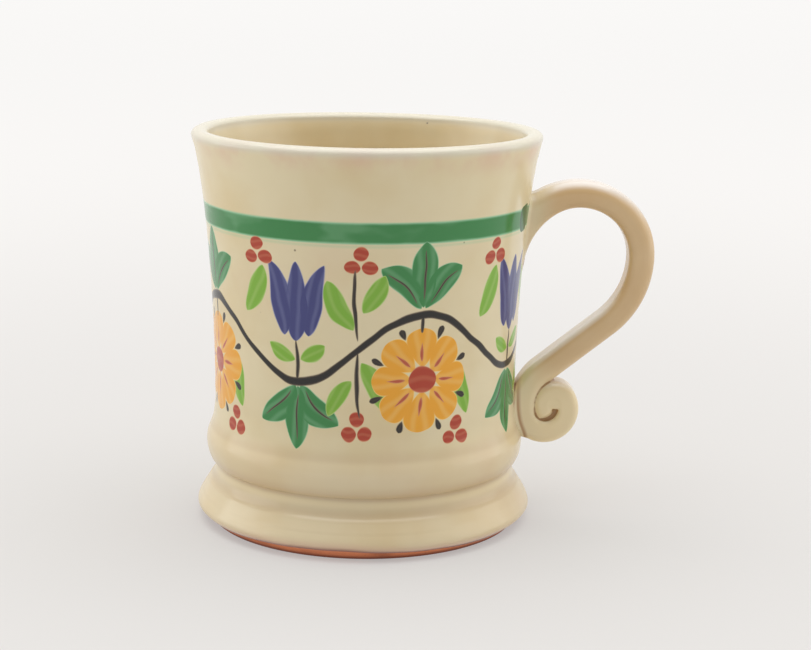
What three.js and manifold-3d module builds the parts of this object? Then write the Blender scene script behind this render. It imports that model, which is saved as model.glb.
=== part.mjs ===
// A wheel-thrown earthenware coffee mug with a scrolled strap handle, coated with tin glaze.
// Millimetres, +Z up. The origin is the centre of the flat base, and the handle lies along +X.
import * as THREE from "three";
import { mergeVertices } from "three/addons/utils/BufferGeometryUtils.js";
import Module from "manifold-3d";

// Body, measured on the glazed surface. A level is a height above the base.
const HEIGHT = 102.6;
const RIM_RADIUS = 45.2;
const LIP_THICKNESS = 4.3;
const LIP_ROUND = 1.6;
const RIM_FLARE = 3.5;
const RIM_FLARE_DEPTH = 11;
const WAIST_RADIUS = 39.55;
const WAIST_LEVEL = 33;
const WALL_STRAIGHT = 25;
const BEAD_RADIUS = 41.8;
const BEAD_LEVEL = 20.8;
const GROOVE_RADIUS = 39.4;
const GROOVE_LEVEL = 13.6;
const FOOT_RADIUS = 43.8;
const FOOT_LEVEL = 4.1;
const FOOT_ROUND = 1.1;
const BARE_INSET = 2.4;
const BARE_EDGE = 1.4;
const BASE_INSET = 4.6;
const WALL = 4.5;
const FLOOR = 7;
const FLOOR_CORNER = 9;

// Coats and joints
const GLAZE = 0.4;
const COAT_GAP = 0.02;
const SLIP = 1.2;
const JOINT_GAP = 0.2;
const COAT_CLEARANCE = 0.3;

// Handle strap, measured on the glazed surface. Its bends and run are drawn with the sizes below, and
// stretch together to reach from the top of the handle to the level where the scroll starts.
const HANDLE_DROP = 12.4;
const SCROLL_LEVEL = 28.75;
const STRAP_WIDTH = 9;
const STRAP_EDGE = 1.9;
const TOP_THICKNESS = 7.1;
const BEND_THICKNESS = 6.3;
const RUN_THICKNESS = 6.7;
const SCROLL_THICKNESS = 6.2;
const ROLL_THICKNESS = 4.4;
const TIP_THICKNESS = 3.6;
const BEND_RADIUS = 16.9;
const LOWER_BEND_RADIUS = 20.55;
const RUN_LENGTH = 20.54;
const RUN_SLOPE = THREE.MathUtils.degToRad(38.5);
const ENTRY_RADIUS = 15.5;
const ROLL_RADIUS = 5.5;
const ROLL_END_RADIUS = 6.2;
const ROLL_TURN = THREE.MathUtils.degToRad(205);
const TIP_RADIUS = 3.05;
const TIP_END_RADIUS = 2.2;
const TIP_TURN = THREE.MathUtils.degToRad(205);
const STRAP_PRESS = 1.02;
const ROOT_WIDTH = 12;
const ROOT_DROP = 16;
const ROOT_CROWN = 18;
const ROOT_SUNK = 3;

// Facets: how many steps each round stretch has, and how close two points count as one
const LATHE_SEGMENTS = 48;
const MOULDING_STEPS = 4;
const LIP_STEPS = 2;
const CORNER_STEPS = 2;
const ROOT_STEPS = 6;
const BEND_STEPS = 7;
const LOWER_BEND_STEPS = 4;
const RUN_STEPS = 1;
const ENTRY_STEPS = 4;
const ROLL_STEPS = 16;
const TIP_STEPS = 10;
const SAME_POINT = 1e-4;

const wasm = await Module();
wasm.setup();

// Turns a closed geometry into a solid that can be joined and cut.
function solidOf(geometry) {
  const bare = geometry.clone();
  bare.deleteAttribute("normal");
  bare.deleteAttribute("uv");
  const merged = mergeVertices(bare, SAME_POINT);
  const corners = merged.index.array;
  const kept = [];
  for (let i = 0; i < corners.length; i += 3) {
    const [a, b, c] = corners.subarray(i, i + 3);
    if (a !== b && b !== c && c !== a) kept.push(a, b, c);
  }
  return new wasm.Manifold(
    new wasm.Mesh({
      numProp: 3,
      vertProperties: merged.attributes.position.array,
      triVerts: new Uint32Array(kept),
    }),
  );
}

// Turns a solid back into a geometry.
function geometryOf(solid) {
  const mesh = solid.getMesh();
  const geometry = new THREE.BufferGeometry();
  geometry.setAttribute("position", new THREE.BufferAttribute(mesh.vertProperties, 3));
  geometry.setIndex(new THREE.BufferAttribute(mesh.triVerts, 1));
  geometry.computeVertexNormals();
  return geometry;
}

// Spins a profile of (radius, level) points round the mug's axis.
function turned(profile) {
  const lathe = new THREE.LatheGeometry(profile, LATHE_SEGMENTS);
  return solidOf(lathe.rotateX(Math.PI / 2));
}

// Adds a soft S-shaped moulding to a profile path, upright at both of its ends.
function mouldingTo(path, radius, level) {
  const from = path.currentPoint.clone();
  const middle = (from.y + level) / 2;
  path.bezierCurveTo(from.x, middle, radius, middle, radius, level);
}

// The outside of the glazed body, from the bare edge under the foot up to the crest of the lip.
function outsidePoints() {
  const path = new THREE.Path();
  path.moveTo(FOOT_RADIUS - BARE_INSET, BARE_EDGE);
  path.quadraticCurveTo(FOOT_RADIUS, FOOT_LEVEL - FOOT_ROUND, FOOT_RADIUS, FOOT_LEVEL);
  mouldingTo(path, GROOVE_RADIUS, GROOVE_LEVEL);
  mouldingTo(path, BEAD_RADIUS, BEAD_LEVEL);
  mouldingTo(path, WAIST_RADIUS, WAIST_LEVEL);
  const lipLevel = HEIGHT - LIP_ROUND;
  path.bezierCurveTo(
    WAIST_RADIUS,
    WAIST_LEVEL + WALL_STRAIGHT,
    RIM_RADIUS - RIM_FLARE,
    lipLevel - RIM_FLARE_DEPTH,
    RIM_RADIUS,
    lipLevel,
  );
  const crest = RIM_RADIUS - LIP_THICKNESS / 2;
  const lip = new THREE.EllipseCurve(crest, lipLevel, LIP_THICKNESS / 2, LIP_ROUND, 0, Math.PI / 2);
  return [...path.getPoints(MOULDING_STEPS), ...lip.getPoints(LIP_STEPS).slice(1)];
}

// The inside of the glazed body, from the crest of the lip down to the middle of the floor.
function insidePoints() {
  const lipLevel = HEIGHT - LIP_ROUND;
  const crest = RIM_RADIUS - LIP_THICKNESS / 2;
  const mouth = RIM_RADIUS - LIP_THICKNESS;
  const bore = WAIST_RADIUS - WALL;
  const lip = new THREE.EllipseCurve(
    crest, lipLevel, LIP_THICKNESS / 2, LIP_ROUND, Math.PI / 2, Math.PI,
  );
  const wall = new THREE.Path();
  wall.moveTo(mouth, lipLevel);
  wall.bezierCurveTo(
    mouth - RIM_FLARE,
    lipLevel - RIM_FLARE_DEPTH,
    bore,
    WAIST_LEVEL + WALL_STRAIGHT,
    bore,
    WAIST_LEVEL,
  );
  wall.lineTo(bore, FLOOR + FLOOR_CORNER);
  const corner = new THREE.EllipseCurve(
    bore - FLOOR_CORNER, FLOOR + FLOOR_CORNER, FLOOR_CORNER, FLOOR_CORNER, 0, -Math.PI / 2, true,
  );
  return [
    ...lip.getPoints(LIP_STEPS),
    ...wall.getPoints(MOULDING_STEPS).slice(1),
    ...corner.getPoints(MOULDING_STEPS).slice(1),
    new THREE.Vector2(0, FLOOR),
  ];
}

// Moves each point of a surface profile into the clay, square to the surface.
function sunk(points, depth) {
  return points.map((point, i) => {
    const before = points[Math.max(i - 1, 0)];
    const after = points[Math.min(i + 1, points.length - 1)];
    const along = after.clone().sub(before).normalize();
    const flat = i === points.length - 1 ? new THREE.Vector2(-1, 0) : along;
    const inward = i === 0 ? new THREE.Vector2(-1, 0) : new THREE.Vector2(-flat.y, flat.x);
    return point.clone().addScaledVector(inward, depth);
  });
}

const outside = outsidePoints();
const inside = insidePoints();
const skin = [...outside, ...inside.slice(1)];
const crestIndex = outside.length - 1;

// The radius of the glazed outside at a level.
function wallRadius(level) {
  const above = outside.findIndex((point) => point.y >= level);
  const high = outside[Math.max(above, 1)];
  const low = outside[Math.max(above, 1) - 1];
  return THREE.MathUtils.mapLinear(level, low.y, high.y, low.x, high.x);
}

// The thrown body: flat base, bare bevel under the foot, wall, lip and floor.
function clayBody() {
  const baseRim = new THREE.Vector2(FOOT_RADIUS - BASE_INSET, 0);
  return turned([new THREE.Vector2(0, 0), baseRim, ...sunk(skin, GLAZE)]);
}

// The coat on one stretch of the skin, from the clay out to the glazed surface.
function coatProfile(first, last) {
  const back = sunk(skin, GLAZE - COAT_GAP).slice(first, last + 1);
  return [...back.reverse(), ...skin.slice(first, last + 1)];
}

function outerCoat() {
  const profile = coatProfile(0, crestIndex);
  return turned([...profile, profile[0].clone()]);
}

function innerCoat() {
  return turned(coatProfile(crestIndex, skin.length - 1));
}

// The space inside a shell that stands a set distance off the clay's outside.
function coreOffClay(distance) {
  const shell = sunk(outside, GLAZE - distance);
  const top = new THREE.Vector2(0, shell[shell.length - 1].y);
  return turned([new THREE.Vector2(0, BARE_EDGE), ...shell, top]);
}

// Walks along arcs and straight runs in the X-Z plane and keeps the strap's place at each step.
function walkStrap(pieces) {
  const place = new THREE.Vector2(0, 0);
  let heading = 0;
  const steps = [{ place: place.clone(), heading, thickness: pieces[0].thickness[0] }];
  for (const piece of pieces) {
    for (let i = 1; i <= piece.steps; i += 1) {
      const turn = piece.turn / piece.steps;
      const radius = THREE.MathUtils.lerp(...piece.radius, (i - 0.5) / piece.steps);
      const chord = turn === 0 ? piece.length / piece.steps : 2 * radius * Math.sin(Math.abs(turn) / 2);
      const aim = heading + turn / 2;
      place.add(new THREE.Vector2(Math.cos(aim), Math.sin(aim)).multiplyScalar(chord));
      heading += turn;
      const thickness = THREE.MathUtils.lerp(...piece.thickness, i / piece.steps);
      steps.push({ place: place.clone(), heading, thickness });
    }
  }
  return steps;
}

// How much the strap's curve stretches: its fall from the top to the scroll, over the fall as drawn.
function strapStretch() {
  const fall = HEIGHT - HANDLE_DROP - TOP_THICKNESS / 2 - SCROLL_LEVEL;
  const bends = BEND_RADIUS + (LOWER_BEND_RADIUS + ENTRY_RADIUS) * Math.cos(RUN_SLOPE);
  return fall / (bends + RUN_LENGTH * Math.sin(RUN_SLOPE));
}
const stretch = strapStretch();

// The strap's bend, straight run and scroll, from the top of the handle to the rolled tip.
const quarter = Math.PI / 2;
const strapPieces = {
  bend: {
    turn: -quarter,
    radius: [BEND_RADIUS * stretch, BEND_RADIUS * stretch],
    thickness: [TOP_THICKNESS, BEND_THICKNESS],
    steps: BEND_STEPS,
  },
  lowerBend: {
    turn: RUN_SLOPE - quarter,
    radius: [LOWER_BEND_RADIUS * stretch, LOWER_BEND_RADIUS * stretch],
    thickness: [BEND_THICKNESS, RUN_THICKNESS],
    steps: LOWER_BEND_STEPS,
  },
  run: {
    turn: 0,
    length: RUN_LENGTH * stretch,
    radius: [0, 0],
    thickness: [RUN_THICKNESS, RUN_THICKNESS],
    steps: RUN_STEPS,
  },
  entry: {
    turn: quarter - RUN_SLOPE,
    radius: [ENTRY_RADIUS * stretch, ENTRY_RADIUS * stretch],
    thickness: [RUN_THICKNESS, SCROLL_THICKNESS],
    steps: ENTRY_STEPS,
  },
  roll: {
    turn: ROLL_TURN,
    radius: [ROLL_RADIUS, ROLL_END_RADIUS],
    thickness: [SCROLL_THICKNESS, ROLL_THICKNESS],
    steps: ROLL_STEPS,
  },
  tip: {
    turn: TIP_TURN,
    radius: [TIP_RADIUS, TIP_END_RADIUS],
    thickness: [ROLL_THICKNESS, TIP_THICKNESS],
    steps: TIP_STEPS,
  },
};
const strapSteps = walkStrap(Object.values(strapPieces));

// Where the walk starts, so that the scroll is pressed into the slip where its back first meets the wall.
function handleTop() {
  const top = HEIGHT - HANDLE_DROP - TOP_THICKNESS / 2;
  const scroll = strapSteps.slice(-ENTRY_STEPS - ROLL_STEPS - TIP_STEPS);
  const reaches = scroll.map(({ place, heading, thickness }) => {
    const back = place.x + (Math.sin(heading) * thickness) / 2;
    const level = top + place.y - (Math.cos(heading) * thickness) / 2;
    return wallRadius(level) - back;
  });
  return new THREE.Vector2(Math.max(...reaches) - STRAP_PRESS, top);
}

// The flared root, as sections from inside the wall out to the top of the bend. Its underside sweeps
// down to the wall and stays outside it at every level.
function rootStations(top) {
  const upper = top.y + TOP_THICKNESS / 2;
  const lower = top.y - TOP_THICKNESS / 2;
  const drop = ROOT_DROP * stretch;
  const crown = ROOT_CROWN * stretch;
  const reach = top.x - wallRadius(lower - drop);
  const stations = [];
  for (let i = ROOT_STEPS; i > 0; i -= 1) {
    const sweep = (i / ROOT_STEPS) * quarter;
    const opened = 1 - Math.cos(sweep);
    const back = reach * Math.sin(sweep);
    const crownFall = crown - Math.sqrt(crown ** 2 - back ** 2);
    const level = lower - drop * opened;
    const underside = THREE.MathUtils.lerp(top.x, wallRadius(level), Math.sin(sweep));
    stations.push({
      outer: new THREE.Vector2(top.x - back, upper - crownFall),
      inner: new THREE.Vector2(underside, level),
      width: THREE.MathUtils.lerp(STRAP_WIDTH, ROOT_WIDTH, opened),
    });
  }
  const deepest = stations[0];
  const sink = new THREE.Vector2(-ROOT_SUNK, 0);
  const end = {
    outer: deepest.outer.clone().add(sink),
    inner: deepest.inner.clone().add(sink),
    width: ROOT_WIDTH,
  };
  return [end, ...stations];
}

// All sections of the strap: the edge on the outside of the bend, the edge on its inside, and the width.
function strapStations() {
  const top = handleTop();
  const swept = strapSteps.map(({ place, heading, thickness }) => {
    const outward = new THREE.Vector2(-Math.sin(heading), Math.cos(heading));
    const middle = place.clone().add(top);
    return {
      outer: middle.clone().addScaledVector(outward, thickness / 2),
      inner: middle.clone().addScaledVector(outward, -thickness / 2),
      width: STRAP_WIDTH,
    };
  });
  return [...rootStations(top), ...swept];
}

// One ring of points round a strap section, with its corners rounded, sunk below the glazed surface.
function sectionRing(station, depth) {
  const across = station.outer.clone().sub(station.inner);
  const halfThick = across.length() / 2 - depth;
  const halfWide = station.width / 2 - depth;
  const round = Math.min(STRAP_EDGE - depth, halfThick, halfWide);
  const middle = station.outer.clone().lerp(station.inner, 0.5);
  across.normalize();
  const ring = [];
  for (let corner = 0; corner < 4; corner += 1) {
    const sideOut = corner === 0 || corner === 3 ? 1 : -1;
    const sideY = corner < 2 ? 1 : -1;
    for (let i = 0; i <= CORNER_STEPS; i += 1) {
      const angle = (corner + i / CORNER_STEPS) * quarter;
      const out = sideOut * (halfThick - round) + round * Math.cos(angle);
      const y = sideY * (halfWide - round) + round * Math.sin(angle);
      ring.push(new THREE.Vector3(middle.x + across.x * out, y, middle.y + across.y * out));
    }
  }
  return ring;
}

// The strap as one solid, sunk below its glazed surface. The coat reaches past the clay at the tip.
function strapSolid(depth) {
  const stations = strapStations();
  const rings = stations.map((station) => sectionRing(station, depth));
  const heading = strapSteps[strapSteps.length - 1].heading;
  const ahead = new THREE.Vector3(Math.cos(heading), 0, Math.sin(heading));
  rings[rings.length - 1].forEach((point) => point.addScaledVector(ahead, GLAZE - depth));
  const count = rings[0].length;
  const faces = [];
  for (let i = 0; i + 1 < rings.length; i += 1) {
    for (let k = 0; k < count; k += 1) {
      const next = (k + 1) % count;
      faces.push(i * count + k, (i + 1) * count + k, (i + 1) * count + next);
      faces.push(i * count + k, (i + 1) * count + next, i * count + next);
    }
  }
  const last = (rings.length - 1) * count;
  for (let k = 1; k + 1 < count; k += 1) {
    faces.push(0, k, k + 1);
    faces.push(last, last + k + 1, last + k);
  }
  const geometry = new THREE.BufferGeometry().setFromPoints(rings.flat());
  geometry.setIndex(faces);
  return solidOf(geometry);
}

const bareStrap = strapSolid(GLAZE);
const glazedStrap = strapSolid(0);

// The strap's clay, cut back to leave room for the slip.
function strapClay() {
  return bareStrap.subtract(coreOffClay(SLIP));
}

// The two pads of slip that hold the strap to the wall, the lower one first.
function slipPads() {
  const layer = coreOffClay(SLIP - JOINT_GAP).subtract(coreOffClay(JOINT_GAP));
  const pads = bareStrap.intersect(layer).decompose();
  return pads.sort((a, b) => a.boundingBox().min[2] - b.boundingBox().min[2]);
}

// The coat on the strap, open at the root and where the scroll is pressed to the wall.
function strapCoat() {
  const hollow = strapSolid(GLAZE - COAT_GAP);
  return glazedStrap.subtract(hollow).subtract(coreOffClay(GLAZE + COAT_CLEARANCE));
}

const clay = new THREE.MeshStandardMaterial({ color: 0xb86c46, roughness: 0.9, metalness: 0 });
const slip = new THREE.MeshStandardMaterial({ color: 0xa9603d, roughness: 0.95, metalness: 0 });
const glaze = new THREE.MeshStandardMaterial({ color: 0xe4dac2, roughness: 0.25, metalness: 0 });

const mug = new THREE.Group();

function addPiece(name, solid, material) {
  const piece = new THREE.Mesh(geometryOf(solid), material);
  piece.name = name;
  mug.add(piece);
}

const [lowerSlip, upperSlip] = slipPads();
addPiece("clay_body", clayBody(), clay);
addPiece("handle_strap", strapClay(), clay);
addPiece("upper_slip_joint", upperSlip, slip);
addPiece("lower_slip_joint", lowerSlip, slip);
addPiece("outer_glaze", outerCoat().subtract(glazedStrap), glaze);
addPiece("inner_glaze", innerCoat(), glaze);
addPiece("handle_glaze", strapCoat(), glaze);

export default mug;
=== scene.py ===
"""Dresses a hand-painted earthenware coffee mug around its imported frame.

The file is laid out as an add-on and run as a script. Sizes are in metres in the properties and
meshes. The painted frieze is laid out in millimetres along the wall and up it.
"""
import math
from collections import namedtuple

import bmesh
import bpy
import numpy as np
from mathutils import Matrix, Vector
from mathutils.geometry import interpolate_bezier


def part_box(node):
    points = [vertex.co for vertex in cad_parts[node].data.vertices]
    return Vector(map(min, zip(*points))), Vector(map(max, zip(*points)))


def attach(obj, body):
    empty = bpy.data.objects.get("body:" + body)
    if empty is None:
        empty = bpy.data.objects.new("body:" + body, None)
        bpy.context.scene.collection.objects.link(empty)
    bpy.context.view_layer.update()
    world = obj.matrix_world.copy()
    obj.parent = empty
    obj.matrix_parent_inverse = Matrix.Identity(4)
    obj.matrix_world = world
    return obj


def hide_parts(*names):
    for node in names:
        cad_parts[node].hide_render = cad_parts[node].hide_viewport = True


bl_info = {
    "name": "Painted Earthenware Mug",
    "version": (1, 0, 0),
    "blender": (4, 5, 0),
    "location": "3D View > Sidebar > Mug",
    "description": "Builds a thrown, tin-glazed and painted coffee mug on its stage",
    "category": "Add Mesh",
}

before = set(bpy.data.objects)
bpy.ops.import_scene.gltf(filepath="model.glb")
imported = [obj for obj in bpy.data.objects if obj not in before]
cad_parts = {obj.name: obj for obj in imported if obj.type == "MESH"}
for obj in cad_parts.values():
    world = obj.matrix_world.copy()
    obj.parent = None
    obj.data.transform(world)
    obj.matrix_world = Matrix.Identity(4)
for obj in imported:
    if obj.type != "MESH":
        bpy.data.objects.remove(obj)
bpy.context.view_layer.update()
OUTER_LOW, OUTER_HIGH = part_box("outer_glaze")
_, HANDLE_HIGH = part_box("handle_glaze")

MM = 0.001
TO_MM = 1000.0
QUARTER = math.pi / 2


def length(name, description, millimetres):
    """A size that a user can change, given here in millimetres."""
    return bpy.props.FloatProperty(
        name=name, description=description, default=millimetres * MM, unit="LENGTH", precision=4
    )


def turn(name, description, degrees):
    """An angle that a user can change, given here in degrees."""
    return bpy.props.FloatProperty(
        name=name, description=description, default=math.radians(degrees), subtype="ANGLE"
    )


def share(name, description, default):
    """A plain number that a user can change."""
    return bpy.props.FloatProperty(name=name, description=description, default=default)


def count(name, description, default):
    """A whole number that a user can change."""
    return bpy.props.IntProperty(name=name, description=description, default=default, min=1)


def linear(value):
    """One channel of a screen colour, 0 to 255, as linear light."""
    tone = value / 255
    return tone / 12.92 if tone <= 0.04045 else ((tone + 0.055) / 1.055) ** 2.4


def colour(name, description, red, green, blue):
    """A colour that a user can change, given here as a screen colour of 0 to 255."""
    return bpy.props.FloatVectorProperty(
        name=name,
        description=description,
        default=(linear(red), linear(green), linear(blue)),
        subtype="COLOR",
        min=0,
        max=1,
    )


class MugBody(bpy.types.PropertyGroup):
    """Sizes of the thrown body, measured on the glazed surface. A level is a height above the base."""

    height: length("Height", "From the base to the crest of the lip", OUTER_HIGH.z * TO_MM)
    rim_radius: length("Rim radius", "Half the width across the lip", OUTER_HIGH.y * TO_MM)
    lip_thickness: length("Lip thickness", "Across the rounded lip", 4.3)
    lip_round: length("Lip round", "Height of the rounded lip", 1.6)
    rim_flare: length("Rim flare", "How far the rim leans out", 3.5)
    rim_flare_depth: length("Rim flare depth", "How far below the lip the flare pulls", 11)
    waist_radius: length("Waist radius", "Half the width of the narrow wall", 39.55)
    waist_level: length("Waist level", "Where the wall starts above the bead", 33)
    wall_straight: length("Straight wall", "How far the wall runs upright", 25)
    bead_radius: length("Bead radius", "Half the width across the bead", 41.8)
    bead_level: length("Bead level", "Middle of the bead", 20.8)
    bead_shoulder: length("Bead shoulder", "How far up the bead swells into the wall", 3.6)
    groove_radius: length("Groove radius", "Half the width at the groove under the bead", 39.4)
    groove_level: length("Groove level", "Lowest point of the bead's underside", 15.2)
    cove_depth: length("Cove depth", "Height of the hollow under the groove", 2.6)
    crease_radius: length("Crease radius", "Half the width at the top of the foot", 41.15)
    crease_level: length("Crease level", "Where the foot starts to spread", 9.8)
    foot_radius: length("Foot radius", "Half the width of the foot", 44.2)
    foot_level: length("Foot level", "Level of the foot's widest point", 3.8)
    foot_round: length("Foot round", "How far below its widest point the foot curves in", 1.1)
    bare_inset: length("Bare inset", "How far in from the foot's widest point the glaze ends", 2.1)
    bare_edge: length("Bare edge", "Level where the glaze ends", OUTER_LOW.z * TO_MM)
    base_inset: length("Base inset", "How far in from the foot's widest point the base starts", 3.8)
    wall: length("Wall", "Thickness of the wall", 4.5)
    floor: length("Floor", "Thickness of the floor", 7)
    floor_corner: length("Floor corner", "Radius where the floor meets the wall", 9)
    glaze: length("Glaze", "Thickness of the glaze", 0.4)
    edge_low: length("Edge low", "Lowest the glaze comes on the foot", 1.25)
    edge_wiped: length("Edge wiped", "How much higher the glaze is wiped off in front", 1.5)
    edge_ripple: length("Edge ripple", "How far the glaze's lower edge strays", 0.12)
    edge_swell: length("Edge swell", "Height over which the glaze thickens above its edge", 1.4)
    edge_fade: length("Edge fade", "Level where the glaze no longer follows its edge", 7)
    oval: length("Oval", "How far the rim is out of round", 0.16)
    swell: length("Swell", "How far the wall swells in three places", 0.07)
    rings: length("Rings", "Height of the rings that the thrower's fingers leave", 0.035)
    ring_spacing: length("Ring spacing", "From ring to ring, for each radian", 0.9)
    rim_tilt: length("Rim tilt", "How far the lip rises and dips", 0.12)
    cut_depth: length("Cut depth", "Half the depth of the wire's marks on the base", 0.07)
    cut_spacing: length("Cut spacing", "From mark to mark, for each radian", 1.1)
    segments: count("Segments", "Faces round the mug", 256)


class MugHandle(bpy.types.PropertyGroup):
    """Sizes of the strap handle, measured on the glazed surface."""

    top_level: length("Top level", "Highest point of the strap", HANDLE_HIGH.z * TO_MM)
    scroll_level: length("Scroll level", "Where the scroll starts on the wall", 28.85)
    width: length("Width", "Across the strap", 9)
    dome: length("Dome", "Radius of the edges on the outside of the strap", 3.3)
    edge: length("Edge", "Radius of the edges on the inside of the strap", 1.8)
    scroll_edge: length("Scroll edge", "Radius of the edges inside the scroll", 1.0)
    top_thickness: length("Top thickness", "Thickness at the top of the bend", 7.1)
    bend_thickness: length("Bend thickness", "Thickness at the outside of the bend", 6.9)
    run_thickness: length("Run thickness", "Thickness along the straight run", 6.9)
    scroll_thickness: length("Scroll thickness", "Thickness where the scroll starts", 6.2)
    roll_thickness: length("Roll thickness", "Thickness where the scroll has turned", 5.4)
    tip_thickness: length("Tip thickness", "Thickness at the tip", 4.4)
    bend_radius: length("Bend radius", "Radius of the upper bend", 16.6)
    lower_bend_radius: length("Lower bend radius", "Radius of the lower bend", 22.9)
    run_slope: turn("Run slope", "Slope of the straight run", 38.5)
    entry_radius: length("Entry radius", "Radius of the bend into the scroll", 12.7)
    roll_radius: length("Roll radius", "Radius at the start of the scroll", 5.85)
    roll_end_radius: length("Roll end radius", "Radius where the tip starts", 6.5)
    roll_turn: turn("Roll turn", "Turn of the scroll", 212)
    tip_radius: length("Tip radius", "Radius at the start of the tip", 2.95)
    tip_end_radius: length("Tip end radius", "Radius at the end of the tip", 3.95)
    tip_turn: turn("Tip turn", "Turn of the tip", 182)
    eye_radius: length("Eye radius", "Radius of the clay that closes the scroll's eye", 5.2)
    eye_depth: length("Eye depth", "How deep the closed eye lies below the strap's faces", 1.5)
    lobe_radius: length("Lobe radius", "Radius of the clay that fills the tip's turn", 1.7)
    lobe_depth: length("Lobe depth", "How deep the filled turn lies below the strap's faces", 0.1)
    press: length("Press", "How deep the scroll is pressed to the wall", 1.1)
    root_width: length("Root width", "Width where the strap meets the wall", 12)
    root_drop: length("Root drop", "How far the root spreads down the wall", 16)
    root_crown: length("Root crown", "Radius of the root's upper edge", 21)
    root_sunk: length("Root sunk", "How deep the root reaches into the wall", 3)
    fillet: length("Fillet", "How far the slip spreads on the wall", 1.1)
    fillet_reach: length("Fillet reach", "How far off the wall the slip reaches", 2.2)
    coat: length("Coat", "How deep the clay lies under the strap's surface", 0.8)
    voxel: length("Voxel", "Size of the steps that fuse the turns", 0.3)


class MugColours(bpy.types.PropertyGroup):
    """Colours of the clay, the glaze and the painting, and of the painted light and shade."""

    # White is used as a painted highlight on the handle's upward faces.
    white: colour("White", "Thick tin glaze on top of the handle", 238, 234, 231)
    # Ivory is partly thick glaze on the lip and partly a painted highlight.
    ivory: colour("Ivory", "Thick tin glaze on the lip", 222, 220, 208)
    cream: colour("Cream", "Tin glaze", 231, 217, 180)
    warm_cream: colour("Warm cream", "Warmer tin glaze", 225, 206, 162)
    # Straw is painted shade deeper inside the cup.
    inside_shade: colour("Straw", "Tin glaze inside the cup", 224, 200, 142)
    tan: colour("Tan", "Tin glaze on the handle", 219, 189, 145)
    warm_tan: colour("Warm tan", "Warmer tin glaze on the handle", 211, 176, 128)
    # Pale tan is painted light: on the lower handle and its scroll, and in the cove under the bead.
    painted_light_tan: colour("Pale tan", "Tin glaze on the scroll", 248, 230, 188)
    # Seam is painted shade: in the handle's creases, where it also stands for pooled glaze, along the
    # handle's joint with the wall, and in the grooves round the foot and the bead.
    seam: colour("Seam", "Glaze along the seams and in the groove", 160, 112, 64)
    thin_glaze: colour("Thin glaze", "Glaze that lets the clay shine through", 224, 186, 160)
    speck: colour("Speck", "Iron specks in the glaze", 96, 74, 54)
    clay: colour("Clay", "Bare fired clay", 228, 138, 92)
    # Dark clay also serves as painted shade along the foot's lower edge, where it meets the floor.
    dark_clay_and_shade: colour("Dark clay", "Scorched and worn clay", 126, 60, 36)
    slip: colour("Slip", "Joining slip", 168, 96, 62)
    emerald: colour("Emerald", "Copper green", 58, 134, 72)
    deep_emerald: colour("Deep emerald", "Copper green laid twice", 8, 94, 42)
    emerald_thin: colour("Thin emerald", "Watery copper green", 150, 204, 160)
    lime: colour("Lime", "Yellow green", 128, 180, 56)
    lime_thin: colour("Thin lime", "Watery yellow green", 190, 214, 130)
    amber: colour("Amber", "Yellow ochre", 240, 168, 44)
    amber_thin: colour("Thin amber", "Watery yellow ochre", 250, 220, 140)
    rust: colour("Rust", "Iron red", 178, 62, 36)
    rust_thin: colour("Thin rust", "Watery iron red", 216, 140, 100)
    blue: colour("Blue", "Cobalt blue", 62, 66, 124)
    blue_thin: colour("Thin blue", "Watery cobalt blue", 140, 146, 188)
    black: colour("Black", "Manganese black", 30, 27, 23)
    black_thin: colour("Thin black", "Watery manganese black", 104, 90, 74)
    floor: colour("Floor", "Pale paper", 160, 157, 154)
    glow: colour("Glow", "Light of the far floor", 255, 255, 255)


class MugFrieze(bpy.types.PropertyGroup):
    """Layout of the painted frieze, in millimetres along the wall and up it."""

    repeats: count("Repeats", "How often the frieze repeats round the mug", 4)
    wall_radius: share("Wall radius", "Radius that the frieze is laid out on, in mm", 40)
    start: turn("Start", "Angle of the first repeat from the front", -2)
    stem_level: share("Stem level", "Level of the winding stem, in mm", 53)
    stem_swing: share("Stem swing", "How far the stem swings up and down, in mm", 8.5)
    stem_width: share("Stem width", "Half the width of the stem, in mm", 0.75)
    band_level: share("Band level", "Middle of the plain band, in mm", 81.9)
    band_width: share("Band width", "Half the width of the plain band, in mm", 2.65)
    lap: turn("Lap", "Angle from the front where the band's stroke ends", 72)
    daisy_level: share("Daisy level", "Level of the daisy's middle, in mm", 44.6)
    tulip_level: share("Tulip level", "Level of the tulip's middle, in mm", 63.6)
    softness: share("Softness", "How far a brush stroke's edge runs, in mm", 0.32)
    wander: share("Wander", "How far a stroke strays from its place, in mm", 1.2)


class MugStage(bpy.types.PropertyGroup):
    """The camera, the floor and the lights."""

    focal_pixels: share("Focal length", "In pixels of the picture", 1843.1)
    camera_back: length("Camera back", "Distance of the camera in front of the mug", 475.6)
    camera_level: length("Camera level", "Height of the camera", 153.3)
    pitch: turn("Pitch", "How far the camera looks down", 12.156)
    roll: turn("Roll", "How far the camera is turned about its view", 0.967)
    yaw: turn("Yaw", "How far the camera looks aside", 1.27)
    floor_radius: length("Floor radius", "How far the round floor reaches", 6000)
    fill: share("Fill", "Light that the floor gives under the mug, so that shadows stay weak", 0.37)
    glow: share("Glow", "Light that the far floor adds, to make up for the panels", 0.375)
    glow_start: length("Glow start", "Distance where the floor adds half that light", 550)
    top_power: share("Top power", "Power of the panel above, in watts", 7)
    left_power: share("Left power", "Power of the panel on the left, in watts", 1.4)
    right_power: share("Right power", "Power of the panel on the right, in watts", 1.2)
    room_front: share("Room in front", "Light of the room in front of the mug", 0.28)
    room_back: share("Room behind", "Light of the room behind the mug", 0.85)


# Profiles


def bezier(start, pull_start, pull_end, end, steps):
    """Points on a cubic curve after its start."""
    corners = [Vector(corner) for corner in (start, pull_start, pull_end, end)]
    return [tuple(point) for point in interpolate_bezier(*corners, steps + 1)[1:]]


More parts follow.
